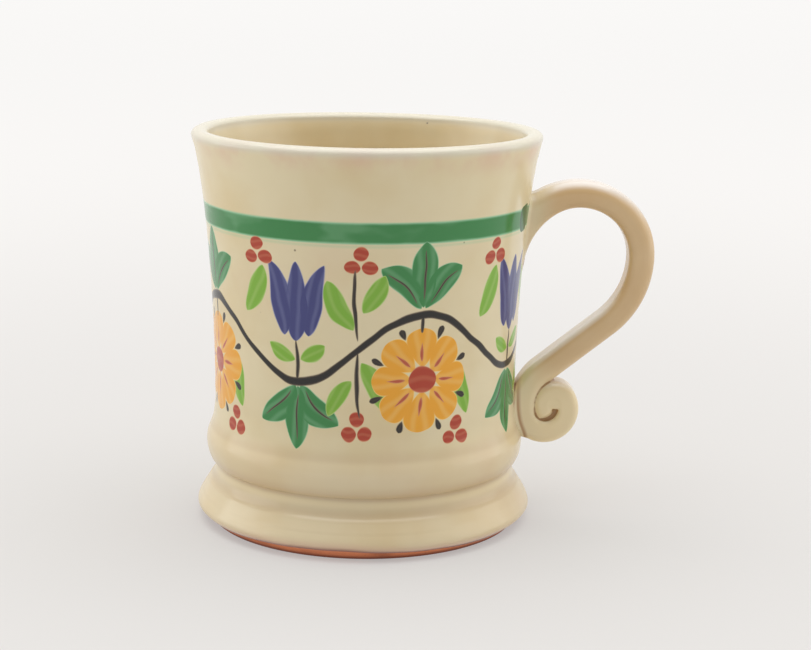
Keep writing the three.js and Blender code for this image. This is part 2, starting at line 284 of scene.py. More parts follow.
def ellipse(centre, half_width, half_height, first, last, steps):
    """Points on a stretch of an ellipse, both ends included."""
    points = []
    for i in range(steps + 1):
        angle = first + (last - first) * i / steps
        points.append((centre[0] + half_width * math.cos(angle), centre[1] + half_height * math.sin(angle)))
    return points


def outside_points(body):
    """The glazed outside, from the bare edge under the foot up to the crest of the lip."""
    edge = (body.foot_radius - body.bare_inset, body.bare_edge)
    foot = (body.foot_radius, body.foot_level)
    under_foot = (body.foot_radius, body.foot_level - body.foot_round)
    crease = (body.crease_radius, body.crease_level)
    groove = (body.groove_radius, body.groove_level)
    bead = (body.bead_radius, body.bead_level)
    waist = (body.waist_radius, body.waist_level)
    lip_level = body.height - body.lip_round
    rim = (body.rim_radius, lip_level)
    spread = (body.foot_radius - body.crease_radius) / 3
    rise = (body.crease_level - body.foot_level) / 3
    points = [edge]
    points += bezier(edge, edge, under_foot, foot, steps=14)
    over_foot = (foot[0], foot[1] + rise)
    under_crease = (crease[0] + spread, crease[1] - rise)
    points += bezier(foot, over_foot, under_crease, crease, steps=16)
    over_crease = (crease[0] - spread, crease[1] + rise / 3)
    cove = (groove[0], body.groove_level - body.cove_depth)
    points += bezier(crease, over_crease, cove, groove, steps=10)
    under = (body.bead_level + body.groove_level) / 2
    hollow = (body.bead_radius - body.groove_radius) / 2
    points += bezier(groove, (groove[0] + hollow, groove[1]), (bead[0], under), bead, steps=14)
    shoulder = body.bead_level + body.bead_shoulder
    points += bezier(bead, (bead[0], shoulder), (waist[0], shoulder), waist, steps=20)
    upright = (body.waist_radius, body.waist_level + body.wall_straight)
    flare = (body.rim_radius - body.rim_flare, lip_level - body.rim_flare_depth)
    points += bezier(waist, upright, flare, rim, steps=72)
    crest = (body.rim_radius - body.lip_thickness / 2, lip_level)
    points += ellipse(crest, body.lip_thickness / 2, body.lip_round, 0, QUARTER, steps=10)[1:]
    return np.array(points)


def inside_points(body):
    """The glazed inside, from the crest of the lip down to the middle of the floor."""
    lip_level = body.height - body.lip_round
    crest = (body.rim_radius - body.lip_thickness / 2, lip_level)
    mouth = (body.rim_radius - body.lip_thickness, lip_level)
    bore = body.waist_radius - body.wall
    flare = (mouth[0] - body.rim_flare, lip_level - body.rim_flare_depth)
    upright = (bore, body.waist_level + body.wall_straight)
    corner = (bore - body.floor_corner, body.floor + body.floor_corner)
    points = ellipse(crest, body.lip_thickness / 2, body.lip_round, QUARTER, math.pi, steps=10)
    points += bezier(mouth, flare, upright, (bore, body.waist_level), steps=60)
    points += bezier(points[-1], points[-1], (bore, corner[1]), (bore, corner[1]), steps=10)
    points += ellipse(corner, body.floor_corner, body.floor_corner, 0, -QUARTER, steps=16)[1:]
    rings = 24
    points += [(corner[0] * (1 - i / rings), body.floor) for i in range(1, rings + 1)]
    return np.array(points)


def base_radius(body):
    """The radius of the flat base."""
    return body.foot_radius - body.base_inset


def clay_points(body):
    """The clay's outline: the flat base, the bare bevel and the clay under both coats."""
    rings = 40
    base = [(base_radius(body) * i / rings, 0) for i in range(rings + 1)]
    skin = np.concatenate([outside_points(body), inside_points(body)[1:]])
    clay = sunk(skin, body.glaze)
    clay[0] = (skin[0, 0] - body.glaze, skin[0, 1])
    steps = 8
    bevel = [np.array(base[-1]) + (clay[0] - base[-1]) * i / steps for i in range(1, steps)]
    return np.concatenate([base, bevel, clay])


def sunk(points, depth):
    """A surface profile moved into the clay, square to the surface."""
    along = np.gradient(points, axis=0)
    along /= np.linalg.norm(along, axis=1)[:, None]
    inward = np.stack([-along[:, 1], along[:, 0]], axis=1)
    moved = points + inward * depth
    moved[points[:, 0] < MM * MM, 0] = 0
    return moved


# Meshes

WELD_DISTANCE = 0.001 * MM
SHARP_ANGLE = math.radians(50)
# Radius from which the thrown wall strays in full
STRAY_RADIUS = 20 * MM
# Share of the glaze's thickness at which the back of a coat lies
COAT_BACK = 0.95
# Gap between the clay and the back of the coat, low on the foot
BACK_GAP = 0.02 * MM
# Share of the base's radius that the wire marks
WIRE_SHARE = 0.97


def thrown_stray(angle, level, body):
    """How far the thrown wall strays from a true circle, by angle and level."""
    up = level / body.height
    oval_turn = 0.7
    swell_twist = 4
    ring_groups = 7 * MM
    oval = body.oval * up * np.sin(2 * angle + oval_turn)
    swell = body.swell * np.sin(3 * angle + swell_twist * up)
    rings = body.rings * np.sin(level / body.ring_spacing + angle) * np.sin(level / ring_groups)
    return oval + swell + rings


def turned_mesh(name, profile, body, closed=False, shape=None):
    """A mesh spun from a profile, with a map that unrolls it. shape moves points by angle."""
    angle = np.linspace(0, 2 * math.pi, body.segments, endpoint=False)[None, :]
    radius = np.repeat(profile[:, :1], body.segments, axis=1)
    level = np.repeat(profile[:, 1:], body.segments, axis=1)
    if shape:
        radius, level = shape(radius, level, angle)
    off_axis = np.clip(radius / STRAY_RADIUS, 0, 1)
    radius = radius + thrown_stray(angle, level, body) * off_axis
    level = level + body.rim_tilt * (level / body.height) ** 3 * np.sin(2 * angle + 2)
    points = np.stack([radius * np.cos(angle), radius * np.sin(angle), level], axis=2)
    rows = len(profile)
    spans = rows if closed else rows - 1
    row, column = np.meshgrid(np.arange(spans), np.arange(body.segments), indexing="ij")
    next_row = (row + 1) % rows
    next_column = (column + 1) % body.segments
    corners = [(row, column), (row, next_column), (next_row, next_column), (next_row, column)]
    faces = np.stack([r * body.segments + c for r, c in corners], axis=2).reshape(-1, 4)
    mesh = bpy.data.meshes.new(name)
    mesh.from_pydata(points.reshape(-1, 3).tolist(), [], faces.tolist())
    unroll(mesh, row, column, spans, body.segments)
    weld(mesh)
    return mesh


def unroll(mesh, row, column, rows, columns):
    """Gives a spun mesh a map: round the mug across it, along the profile up it."""
    across = np.stack([column, column + 1, column + 1, column], axis=2) / columns
    up = np.stack([row, row, row + 1, row + 1], axis=2) / rows
    places = np.stack([across, up], axis=3)
    layer = mesh.uv_layers.new(name="OFBake")
    layer.data.foreach_set("uv", places.astype(np.float32).ravel())


def weld(mesh):
    """Joins points that lie on each other, as on the axis, and shades the skin smooth."""
    work = bmesh.new()
    work.from_mesh(mesh)
    bmesh.ops.remove_doubles(work, verts=work.verts, dist=WELD_DISTANCE)
    bmesh.ops.recalc_face_normals(work, faces=work.faces)
    work.to_mesh(mesh)
    work.free()
    mesh.shade_smooth()
    mesh.set_sharp_from_angle(angle=SHARP_ANGLE)


def points_of(mesh):
    """The places of a mesh's points, one row each."""
    places = np.empty(len(mesh.vertices) * 3, np.float32)
    mesh.vertices.foreach_get("co", places)
    return places.reshape(-1, 3).astype(float)


def mark(mesh, name, values):
    """Stores one number per point, for a material to read."""
    layer = mesh.attributes.new(name, "FLOAT", "POINT")
    layer.data.foreach_set("value", values.astype(np.float32))


def add_piece(name, mesh, material, slot, *nodes):
    """Puts a finished piece on the mug in place of its solids."""
    piece = bpy.data.objects.new(name, mesh)
    bpy.context.scene.collection.objects.link(piece)
    mesh.materials.clear()
    mesh.materials.append(material)
    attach(piece, "root")
    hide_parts(*nodes)
    return piece


def glaze_edge(angle, body):
    """Level of the lower edge of the glaze: high on the left of the front, low elsewhere."""
    from_front = np.arctan2(np.cos(angle), -np.sin(angle))
    wiped_middle = -0.18
    wiped_spread = 0.5
    wiped = np.exp(-(((from_front - wiped_middle) / wiped_spread) ** 2))
    ripple = np.sin(5 * angle) + 0.6 * np.sin(11 * angle + 1) + 0.4 * np.sin(23 * angle + 2)
    return body.edge_low + body.edge_wiped * wiped + body.edge_ripple * ripple


def clay_mesh(body):
    """The thrown body with its bare base and foot, up to just under the glaze."""
    marked_radius = base_radius(body) * WIRE_SHARE

    def cut_marks(radius, level, angle):
        """Lifts the base along the marks of the wire that cut the mug off the wheel."""
        inner = (level <= 0) & (radius < marked_radius) & (radius > 0)
        spiral = np.sin(radius / body.cut_spacing + 2 * angle + 1.5 * np.sin(angle))
        return radius, level + np.where(inner, body.cut_depth * (1 + spiral), 0)

    return turned_mesh("bare_clay", clay_points(body), body, shape=cut_marks)


def outer_coat_mesh(body):
    """The outer coat: the painted skin, and the back of it on the clay."""
    skin = outside_points(body)
    back = sunk(skin, body.glaze * COAT_BACK)[::-1]
    profile = np.concatenate([skin, back])
    clay_line = clay_points(body)
    clay_line = clay_line[: np.argmax(clay_line[:, 1] > body.waist_level)]
    clay_line = clay_line[clay_line[:, 0] > base_radius(body) * 0.99]
    on_skin = (np.arange(len(profile)) < len(skin))[:, None]

    def follow_edge(radius, level, angle):
        """Moves the lower end of the coat along the clay to the wavy edge of the glaze."""
        low = np.clip((body.edge_fade - level) / (body.edge_fade - body.bare_edge), 0, 1)
        edge = glaze_edge(angle, body)
        moved = level + low * (edge - body.bare_edge)
        clay = np.interp(moved, clay_line[:, 1], clay_line[:, 0])
        swell = np.clip((moved - edge) / body.edge_swell, 0, 1) ** 0.5
        coat = np.where(on_skin, body.glaze * swell, BACK_GAP)
        radius = np.where(low > 0, clay + coat, radius)
        return radius, np.where(low > 0, moved, level)

    mesh = turned_mesh("painted_coat", profile, body, closed=True, shape=follow_edge)
    points = points_of(mesh)
    above = points[:, 2] - glaze_edge(np.arctan2(points[:, 1], points[:, 0]), body)
    mark(mesh, "above_edge", above * TO_MM)
    return mesh


def inner_coat_mesh(body):
    """The inner coat: the skin inside the cup, and the back of it on the clay."""
    skin = inside_points(body)
    back = sunk(skin, body.glaze * COAT_BACK)
    profile = np.concatenate([back[::-1], skin])
    return turned_mesh("inner_coat", profile, body)


# Handle

CORNER_STEPS = 8
TIP_STEPS = 6
PLUG_SEGMENTS = 64
CREASE_ROUNDS = 4
GLAZE_ROUNDS = 6
CLAY_ROUNDS = 2
SOFTENING = 0.5
# Largest edge radii, as shares of half the strap's thickness or width
DOME_SHARE = 1.2
BOTH_EDGES_SHARE = 1.9
SIDE_SHARE = 0.9
# How near the wall counts at most, where 1 is on it and more is inside it
DEEPEST_FILLET = 1.2

StrapPiece = namedtuple("StrapPiece", "turn run radii thickness edges steps")
StrapStep = namedtuple("StrapStep", "place heading thickness edge")


def strap_pieces(handle):
    """The strap's arcs and straight run. The edges are those on the outside of the upper bend."""
    slope = handle.run_slope
    fall = handle.top_level - handle.top_thickness / 2 - handle.scroll_level
    bends = handle.bend_radius + (handle.lower_bend_radius + handle.entry_radius) * math.cos(slope)
    run = (fall - bends) / math.sin(slope)
    top, bend, straight = handle.top_thickness, handle.bend_thickness, handle.run_thickness
    scroll, roll, tip = handle.scroll_thickness, handle.roll_thickness, handle.tip_thickness
    upper = (handle.bend_radius, handle.bend_radius)
    lower = (handle.lower_bend_radius, handle.lower_bend_radius)
    entry = (handle.entry_radius, handle.entry_radius)
    domed = (handle.dome, handle.dome)
    closing = (handle.dome, handle.scroll_edge)
    closed = (handle.scroll_edge, handle.scroll_edge)
    roll_radii = (handle.roll_radius, handle.roll_end_radius)
    tip_radii = (handle.tip_radius, handle.tip_end_radius)
    return [
        StrapPiece(-QUARTER, 0, upper, (top, bend), domed, 40),
        StrapPiece(slope - QUARTER, 0, lower, (bend, straight), domed, 24),
        StrapPiece(0, run, (0, 0), (straight, straight), domed, 24),
        StrapPiece(QUARTER - slope, 0, entry, (straight, scroll), closing, 20),
        StrapPiece(handle.roll_turn, 0, roll_radii, (scroll, roll), closed, 60),
        StrapPiece(handle.tip_turn, 0, tip_radii, (roll, tip), closed, 60),
    ]


def between(ends, part):
    """A value part of the way from the first end to the last."""
    return ends[0] + (ends[1] - ends[0]) * part


def walk_strap(handle):
    """Walks along the strap in the X-Z plane, and counts the steps where each piece ends."""
    place = Vector((0, 0))
    heading = 0
    steps = [StrapStep(place.copy(), heading, handle.top_thickness, handle.dome)]
    ends = []
    for piece in strap_pieces(handle):
        for i in range(piece.steps):
            part = piece.turn / piece.steps
            radius = between(piece.radii, (i + 0.5) / piece.steps)
            chord = 2 * radius * math.sin(abs(part) / 2) if piece.turn else piece.run / piece.steps
            aim = heading + part / 2
            place = place + chord * Vector((math.cos(aim), math.sin(aim)))
            heading += part
            done = (i + 1) / piece.steps
            edge = between(piece.edges, done)
            steps.append(StrapStep(place.copy(), heading, between(piece.thickness, done), edge))
        ends.append(len(steps) - 1)
    return steps, ends


def wall_radius(level, body):
    """The radius of the glazed outside at a level."""
    skin = outside_points(body)
    return np.interp(level, skin[:, 1], skin[:, 0])


StrapSection = namedtuple("StrapSection", "outer inner width dome")


def root_sections(top, handle, body):
    """The flared root, as sections from inside the wall out to the top of the bend."""
    upper = top.y + handle.top_thickness / 2
    lower = top.y - handle.top_thickness / 2
    reach = top.x - wall_radius(lower - handle.root_drop, body)
    sections = []
    steps = 24
    for i in range(steps, 0, -1):
        sweep = i / steps * QUARTER
        back = reach * math.sin(sweep)
        crown = handle.root_crown - math.sqrt(handle.root_crown**2 - back**2)
        opened = 1 - math.cos(sweep)
        level = lower - handle.root_drop * opened
        underside = between((top.x, wall_radius(level, body)), math.sin(sweep))
        outer = Vector((top.x - back, upper - crown))
        width = between((handle.width, handle.root_width), opened)
        sections.append(StrapSection(outer, Vector((underside, level)), width, handle.dome))
    sink = Vector((handle.root_sunk, 0))
    deepest = sections[0]
    return [deepest._replace(outer=deepest.outer - sink, inner=deepest.inner - sink)] + sections


def strap_sections(handle, body):
    """All sections of the strap, its last heading, and the middles of its eye and of its lobe."""
    steps, ends = walk_strap(handle)
    scroll_start, tip_start = steps[ends[3]], steps[ends[4]]
    contact = wall_radius(handle.scroll_level, body) + handle.scroll_thickness / 2 - handle.press
    top = Vector((contact - scroll_start.place.x, handle.top_level - handle.top_thickness / 2))
    sections = root_sections(top, handle, body)
    for step in steps:
        outward = Vector((-math.sin(step.heading), math.cos(step.heading))) * step.thickness / 2
        middle = step.place + top
        sections.append(StrapSection(middle + outward, middle - outward, handle.width, step.edge))
    eye = Vector((contact + handle.roll_radius, handle.scroll_level))
    inward = Vector((-math.sin(tip_start.heading), math.cos(tip_start.heading)))
    lobe = tip_start.place + top + inward * handle.tip_radius
    return sections, steps[-1].heading, eye, lobe


def section_ring(section, handle, depth, grow=1.0):
    """A ring of points round one strap section, sunk by a depth, with its four edges rounded."""
    middle = (section.outer + section.inner) / 2
    across = (section.outer - section.inner).normalized()
    half_thick = ((section.outer - section.inner).length / 2 - depth) * grow
    half_wide = (section.width / 2 - depth) * grow
    dome = min(section.dome, half_thick * DOME_SHARE, half_wide * SIDE_SHARE)
    edge = min(handle.edge, half_thick * BOTH_EDGES_SHARE - dome, half_wide * SIDE_SHARE)
    ring = []
    for corner in range(4):
        side_out = 1 if corner in (0, 3) else -1
        side_y = 1 if corner < 2 else -1
        radius = dome if side_out > 0 else edge
        for i in range(CORNER_STEPS + 1):
            angle = (corner + i / CORNER_STEPS) * QUARTER
            out = side_out * (half_thick - radius) + radius * math.cos(angle)
            y = side_y * (half_wide - radius) + radius * math.sin(angle)
            ring.append((middle.x + across.x * out, y, middle.y + across.y * out))
    return ring


def strap_mesh(handle, body, depth):
    """The strap lofted through its sections, sunk by a depth, with a rounded tip and a closed scroll."""
    sections, heading, eye, lobe = strap_sections(handle, body)
    rings = [section_ring(section, handle, depth) for section in sections]
    ahead = Vector((math.cos(heading), 0, math.sin(heading)))
    for i in range(1, TIP_STEPS):
        swing = i / TIP_STEPS * QUARTER
        ring = section_ring(sections[-1], handle, depth, math.cos(swing))
        step = ahead * handle.tip_thickness / 2 * math.sin(swing)
        rings.append([tuple(Vector(point) + step) for point in ring])
    size = len(rings[0])
    faces = [tuple(range(size)), tuple(reversed(range((len(rings) - 1) * size, len(rings) * size)))]
    for i in range(len(rings) - 1):
        for k in range(size):
            after = (k + 1) % size
            faces.append((i * size + k, (i + 1) * size + k, (i + 1) * size + after, i * size + after))
    mesh = bpy.data.meshes.new("handle_loft")
    mesh.from_pydata([point for ring in rings for point in ring], [], faces)
    width = handle.width - 2 * depth
    add_plug(mesh, eye, handle.eye_radius, width - 2 * handle.eye_depth)
    add_plug(mesh, lobe, handle.lobe_radius, width - 2 * handle.lobe_depth)
    return mesh


def add_plug(mesh, middle, radius, width):
    """Adds a round of clay across the strap, to fill part of the scroll."""
    work = bmesh.new()
    work.from_mesh(mesh)
    turned = Matrix.Translation((middle.x, 0, middle.y)) @ Matrix.Rotation(QUARTER, 4, "X")
    sizes = {"radius1": radius, "radius2": radius, "depth": width, "segments": PLUG_SEGMENTS}
    bmesh.ops.create_cone(work, cap_ends=True, matrix=turned, **sizes)
    work.to_mesh(mesh)
    work.free()


def fused_mesh(mesh, voxel, rounds):
    """Joins a mesh's touching turns into one skin and softens its creases, as glaze does."""
    piece = bpy.data.objects.new("fusing", mesh)
    bpy.context.scene.collection.objects.link(piece)
    fuse = piece.modifiers.new("Fuse", "REMESH")
    fuse.mode = "VOXEL"
    fuse.voxel_size = voxel
    soften = piece.modifiers.new("Soften", "SMOOTH")
    soften.factor = SOFTENING
    soften.iterations = rounds
    depsgraph = bpy.context.evaluated_depsgraph_get()
    made = bpy.data.meshes.new_from_object(piece.evaluated_get(depsgraph))
    bpy.data.objects.remove(piece)
    return made


def normals_of(mesh):
    """The directions that a mesh's points face, one row each."""
    ways = np.empty(len(mesh.vertices) * 3, np.float32)
    mesh.vertex_normals.foreach_get("vector", ways)
    return ways.reshape(-1, 3).astype(float)


def neighbour_mean(mesh, values):
    """The mean of a value over each point's neighbours."""
    ends = np.empty(len(mesh.edges) * 2, np.int32)
    mesh.edges.foreach_get("vertices", ends)
    first, last = ends.reshape(-1, 2).T
    total = np.zeros_like(values)
    np.add.at(total, first, values[last])
    np.add.at(total, last, values[first])
    number = np.bincount(ends, minlength=len(values))
    return (total.T / number).T


def mark_creases(mesh):
    """Marks how deep each point lies below its neighbours, which is above 0 in creases."""
    points = points_of(mesh)
    depth = ((neighbour_mean(mesh, points) - points) * normals_of(mesh)).sum(axis=1)
    for _ in range(CREASE_ROUNDS):
        depth = (depth + neighbour_mean(mesh, depth)) / 2
    mark(mesh, "crease", depth * TO_MM)


def spread_slip(mesh, handle, body):
    """Spreads the handle's skin into a fillet where it meets the wall, and marks how far off it lies."""
    points = points_of(mesh)
    normals = normals_of(mesh)
    around = points * np.array([1, 1, 0])
    radius = np.linalg.norm(around, axis=1)
    off_wall = radius - wall_radius(points[:, 2], body)
    outward = around / radius[:, None]
    sideways = normals - outward * (normals * outward).sum(axis=1)[:, None]
    near = np.clip(1 - off_wall / handle.fillet_reach, 0, DEEPEST_FILLET)
    spread = handle.fillet * near**2
    points += sideways * spread[:, None]
    mesh.vertices.foreach_set("co", points.astype(np.float32).ravel())
    mark(mesh, "off_wall", off_wall * TO_MM)
    mesh.update()


def handle_mesh(handle, body):
    """The glazed handle: one soft skin over the strap and its scroll."""
    mesh = fused_mesh(strap_mesh(handle, body, 0), handle.voxel, GLAZE_ROUNDS)
    mark_creases(mesh)
    spread_slip(mesh, handle, body)
    mesh.shade_smooth()
    return mesh


def strap_clay_mesh(handle, body):
    """The clay strap, well under its glaze."""
    mesh = fused_mesh(strap_mesh(handle, body, handle.coat), handle.voxel * 2, CLAY_ROUNDS)
    mesh.shade_smooth()
    return mesh


# Shader building blocks


def put(tree, socket, value):
    """Feeds a socket from another node, or with a fixed value or colour."""
    if isinstance(value, bpy.types.NodeSocket):
        tree.links.new(value, socket)
    elif socket.type == "RGBA":
        socket.default_value = (*value, 1.0)
    else:
        socket.default_value = value


def new_node(tree, kind, values, **settings):
    """A shader node with its settings made and its first sockets fed in order."""
    node = tree.nodes.new("ShaderNode" + kind)
    for name, setting in settings.items():
        setattr(node, name, setting)
    for socket, value in zip(node.inputs, values):
        put(tree, socket, value)
    return node


def maths(tree, operation, *values):
    """A Math node's result."""
    return new_node(tree, "Math", values, operation=operation).outputs[0]


def square_sum(tree, x, y):
    """The squares of two numbers, added."""
    return maths(tree, "MULTIPLY_ADD", x, x, maths(tree, "MULTIPLY", y, y))


def vector_maths(tree, operation, *values):
    """A Vector Math node's result."""
    return new_node(tree, "VectorMath", values, operation=operation).outputs[0]


def scaled(tree, vector, factor):
    """A vector times a fixed number."""
    node = new_node(tree, "VectorMath", (vector,), operation="SCALE")
    node.inputs["Scale"].default_value = factor
    return node.outputs[0]


def split(tree, vector):
    """The X, Y and Z of a vector."""
    return tuple(new_node(tree, "SeparateXYZ", (vector,)).outputs)


def join(tree, x, y):
    """A flat vector made of two numbers."""
    return new_node(tree, "CombineXYZ", (x, y)).outputs[0]


def ramp(tree, value, low, high, first=0.0, last=1.0):
    """A smooth step from first at low to last at high."""
    values = (value, low, high, first, last)
    return new_node(tree, "MapRange", values, interpolation_type="SMOOTHSTEP").outputs[0]


def hump(tree, value, low, peak, high, most):
    """Rises smoothly from low to peak and falls again to high."""
    rise = ramp(tree, value, low, peak)
    fall = ramp(tree, value, peak, high, most, 0)
    return maths(tree, "MULTIPLY", rise, fall)


def mottle(tree, place, waves, detail=2.0, roughness=0.5):
    """Noise at a place: its value and its colour."""
    node = new_node(tree, "TexNoise", (place,))
    for name, value in (("Scale", waves), ("Detail", detail), ("Roughness", roughness)):
        node.inputs[name].default_value = value
    return node.outputs[0], node.outputs[1]


def lay_over(tree, base, *layers):
    """Colours laid over a base one after another, each with its cover."""
    for over, cover in layers:
        node = tree.nodes.new("ShaderNodeMix")
        node.data_type = "RGBA"
        for index, value in ((0, cover), (6, base), (7, over)):
            put(tree, node.inputs[index], value)
        base = node.outputs[2]
    return base


def new_material(name):
    """A material with an empty Principled shader, its tree and its shader."""
    material = bpy.data.materials.new(name)
    material.use_nodes = True
    tree = material.node_tree
    tree.nodes.clear()
    shader = tree.nodes.new("ShaderNodeBsdfPrincipled")
    output = tree.nodes.new("ShaderNodeOutputMaterial")
    tree.links.new(shader.outputs[0], output.inputs[0])
    return material, tree, shader


def place_in_mm(tree):
    """A point of the piece in millimetres."""
    node = tree.nodes.new("ShaderNodeTexCoord")
    return scaled(tree, node.outputs["Object"], TO_MM)


def marked(tree, name):
    """A number that a mesh stores for each of its points."""
    node = tree.nodes.new("ShaderNodeAttribute")
    node.attribute_name = name
    return node.outputs["Fac"]


def add_bump(tree, shader, height, distance, strength):
    """Fine relief on a shader."""
    node = tree.nodes.new("ShaderNodeBump")
    for name, value in (("Strength", strength), ("Distance", distance), ("Height", height)):
        put(tree, node.inputs[name], value)
    tree.links.new(node.outputs[0], shader.inputs["Normal"])


# Glaze and clay

# Waves of each mottled pattern in a millimetre
GLAZE_CLOUDS = 0.045
GLAZE_BLUSHES = 0.028
GLAZE_SMEARS = 0.07
GLAZE_PEEL = 0.35
GLAZE_SPECKS = 0.12
LIP_PATCHES = 0.08
CLAY_CLOUDS = 0.09
CLAY_GRAINS = 2.4
SLIP_GRAINS = 1.6
BRUSH_DRIFT = 0.09

GLAZE_IOR = 1.5
GLAZE_ROUGHNESS = (0.14, 0.24)
PEEL_DEPTH = 0.25 * MM
PEEL_STRENGTH = 0.05
CLAY_ROUGHNESS = (0.8, 0.95)
CLAY_RELIEF = 0.3
SLIP_ROUGHNESS = (0.85, 0.95)
SLIP_RELIEF = 0.2


def glaze_colour(tree, place, colours, light, warm):
    """Tin glaze: cloudy between a light and a warm tone, blushing in places, with a few iron specks."""
    cloud, _ = mottle(tree, place, GLAZE_CLOUDS, 3)
    blush, _ = mottle(tree, place, GLAZE_BLUSHES)
    cells = new_node(tree, "TexVoronoi", (place,))
    cells.inputs["Scale"].default_value = GLAZE_SPECKS
    picked = maths(tree, "GREATER_THAN", split(tree, cells.outputs["Color"])[0], 0.8)
    dot = ramp(tree, cells.outputs["Distance"], 0.02, 0.045, 0.7, 0)
    return lay_over(
        tree,
        light,
        (warm, ramp(tree, cloud, 0.35, 0.75)),
        (colours.thin_glaze, ramp(tree, blush, 0.55, 0.8, 0, 0.28)),
        (colours.speck, maths(tree, "MULTIPLY", picked, dot)),
    )


def finish_glaze(tree, shader, place, base):
    """The gloss of a fired tin glaze over a colour."""
    smear, _ = mottle(tree, place, GLAZE_SMEARS, 3)
    peel, _ = mottle(tree, place, GLAZE_PEEL)
    tree.links.new(base, shader.inputs["Base Color"])
    tree.links.new(ramp(tree, smear, 0.3, 0.7, *GLAZE_ROUGHNESS), shader.inputs["Roughness"])
    shader.inputs["IOR"].default_value = GLAZE_IOR
    add_bump(tree, shader, peel, PEEL_DEPTH, PEEL_STRENGTH)


def finish_clay(tree, shader, base, grain, roughness, relief):
    """The dull, grainy skin of bare clay or slip over a colour."""
    tree.links.new(base, shader.inputs["Base Color"])
    tree.links.new(ramp(tree, grain, 0.3, 0.7, *roughness), shader.inputs["Roughness"])
    add_bump(tree, shader, grain, relief * MM, relief)


def lip_glaze_and_highlight(tree, level, colours, body):
    """The paler layer over the lip: partly thick white glaze and partly a painted highlight."""
    crest = body.height * TO_MM
    return colours.ivory, ramp(tree, level, crest - 3.2, crest - 0.8, 0, 0.7)


def inner_material(colours, body):
    """Plain tin glaze inside the cup, with painted shade down the wall, and paler at the lip, partly as a
    painted highlight.
    """
    material, tree, shader = new_material("tin glaze inside")
    place = place_in_mm(tree)
    level = split(tree, place)[2]
    crest = body.height * TO_MM
    base = lay_over(
        tree,
        glaze_colour(tree, place, colours, colours.cream, colours.warm_cream),
        # Painted shade deeper in the cup.
        (colours.inside_shade, ramp(tree, level, crest - 5, crest - 26, 0, 0.85)),
        lip_glaze_and_highlight(tree, level, colours, body),
    )
    finish_glaze(tree, shader, place, base)
    return material


def handle_material(colours):
    """Tan tin glaze, with a painted highlight on top and painted light on the scroll, paler at the wall,
    and painted shade in creases and along the joint with the wall.
    """
    material, tree, shader = new_material("tin glaze on the handle")
    place = place_in_mm(tree)
    level = split(tree, place)[2]
    off_wall = marked(tree, "off_wall")
    facing = tree.nodes.new("ShaderNodeNewGeometry").outputs["Normal"]
    # Painted highlight: faces of the handle that look up turn white, more so higher up.
    top_highlight_most = ramp(tree, level, 32, 42, 0.2, 0.8)
    top_highlight = ramp(tree, split(tree, facing)[2], 0.25, 0.85, 0, top_highlight_most)
    # Painted shade along the handle's joint with the wall and in its creases; the crease mark also stands
    # for pooled glaze.
    line = hump(tree, off_wall, 0.5, 1.1, 2.2, ramp(tree, level, 40, 30, 0.1, 0.8))
    crease = ramp(tree, marked(tree, "crease"), 0.004, 0.022, 0, 0.85)
    base = lay_over(
        tree,
        glaze_colour(tree, place, colours, colours.tan, colours.warm_tan),
        # Painted light on the lower run and the scroll.
        (colours.painted_light_tan, ramp(tree, level, 46, 30, 0, 0.85)),
        (colours.white, top_highlight),
        (colours.cream, ramp(tree, off_wall, 1, 8, 0.7, 0)),
        (colours.seam, maths(tree, "MAXIMUM", line, crease)),
        (colours.cream, ramp(tree, off_wall, 0.4, 0.9, 0.8, 0)),
    )
    finish_glaze(tree, shader, place, base)
    return material


def clay_material(colours, body):
    """Bare earthenware: grainy, with darker patches, and dark at the edge of the base, partly worn and
    partly painted shade where it meets the floor.
    """
    material, tree, shader = new_material("bare earthenware")
    place = place_in_mm(tree)
    x, y, level = split(tree, place)
    cloud, _ = mottle(tree, place, CLAY_CLOUDS, 5, 0.6)
    grain, _ = mottle(tree, place, CLAY_GRAINS, 3)
    edge = base_radius(body) * TO_MM
    radius = maths(tree, "SQRT", square_sum(tree, x, y))
    # Darker towards the edge of the base and the floor: partly wear, partly painted shade.
    worn = ramp(tree, radius, edge - 5, edge - 0.5, 0.1, 0.95)
    base = lay_over(
        tree,
        colours.clay,
        (colours.dark_clay_and_shade, ramp(tree, cloud, 0.4, 0.8, 0, 0.5)),
        (colours.dark_clay_and_shade, ramp(tree, grain, 0.55, 0.75, 0, 0.3)),
        (colours.dark_clay_and_shade, ramp(tree, level, 0.1, 1.6, worn, 0)),
    )
    finish_clay(tree, shader, base, grain, CLAY_ROUGHNESS, CLAY_RELIEF)
    return material


def slip_material(colours):
    """Joining slip under the glaze."""
    material, tree, shader = new_material("joining slip")
    grain, _ = mottle(tree, place_in_mm(tree), SLIP_GRAINS, 3)
    base = lay_over(tree, colours.slip, (colours.dark_clay_and_shade, ramp(tree, grain, 0.45, 0.75, 0, 0.5)))
    finish_clay(tree, shader, base, grain, SLIP_ROUGHNESS, SLIP_RELIEF)
    return material


# Painting

HAIR_WAVES = 7.0
HAIR_SWAY = 0.9
SWAY_WAVES = 2.3
HAIR_DEPTH = 0.13
SEED_STEP = 3.7
# How far a stroke's outline is drawn in, as a share of its soft edge
EDGE_INSET = 0.6
PETALS = 8
BERRY_SIZE = 3.9
BERRY_REACH = 2.4
STALK_WIDTH = 1.2
# Gap between the stem and the foot of a leaf fan
FAN_GAP = 0.6

